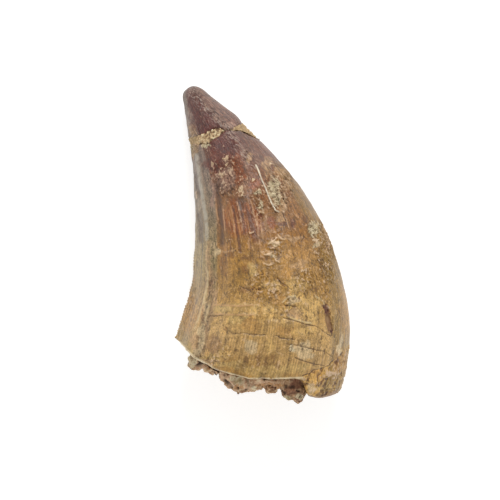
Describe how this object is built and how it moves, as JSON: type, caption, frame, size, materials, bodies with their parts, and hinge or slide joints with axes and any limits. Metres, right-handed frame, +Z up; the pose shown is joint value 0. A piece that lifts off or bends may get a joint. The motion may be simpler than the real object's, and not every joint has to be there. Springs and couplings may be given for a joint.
{
  "type": "fossil mosasaur tooth",
  "caption": "Curved conical fossil reptile tooth lying on its side, with a sharp cutting edge, a reglued tip and a crumbly broken base of root and matrix.",
  "frame": {"origin": "middle of the tooth's bounding box, on the plane it lies on", "axes": "+Y from the base to the tip, +X from the cutting edge to the round edge, +Z up from what the tooth lies on"},
  "size_m": [0.0314, 0.0572, 0.022],
  "materials": {
    "enamel": "satin fossil enamel, ochre brown, striated",
    "tip_enamel": "satin fossil enamel, maroon brown with grey facets",
    "sand_filler": "matt glued sand",
    "matrix": "matt crumbly root bone and phosphate sand"
  },
  "bodies": {
    "root": {"crown": "enamel", "crown_tip": "tip_enamel", "break_filler": "sand_filler", "base_matrix": "matrix"}
  },
  "joints": []
}
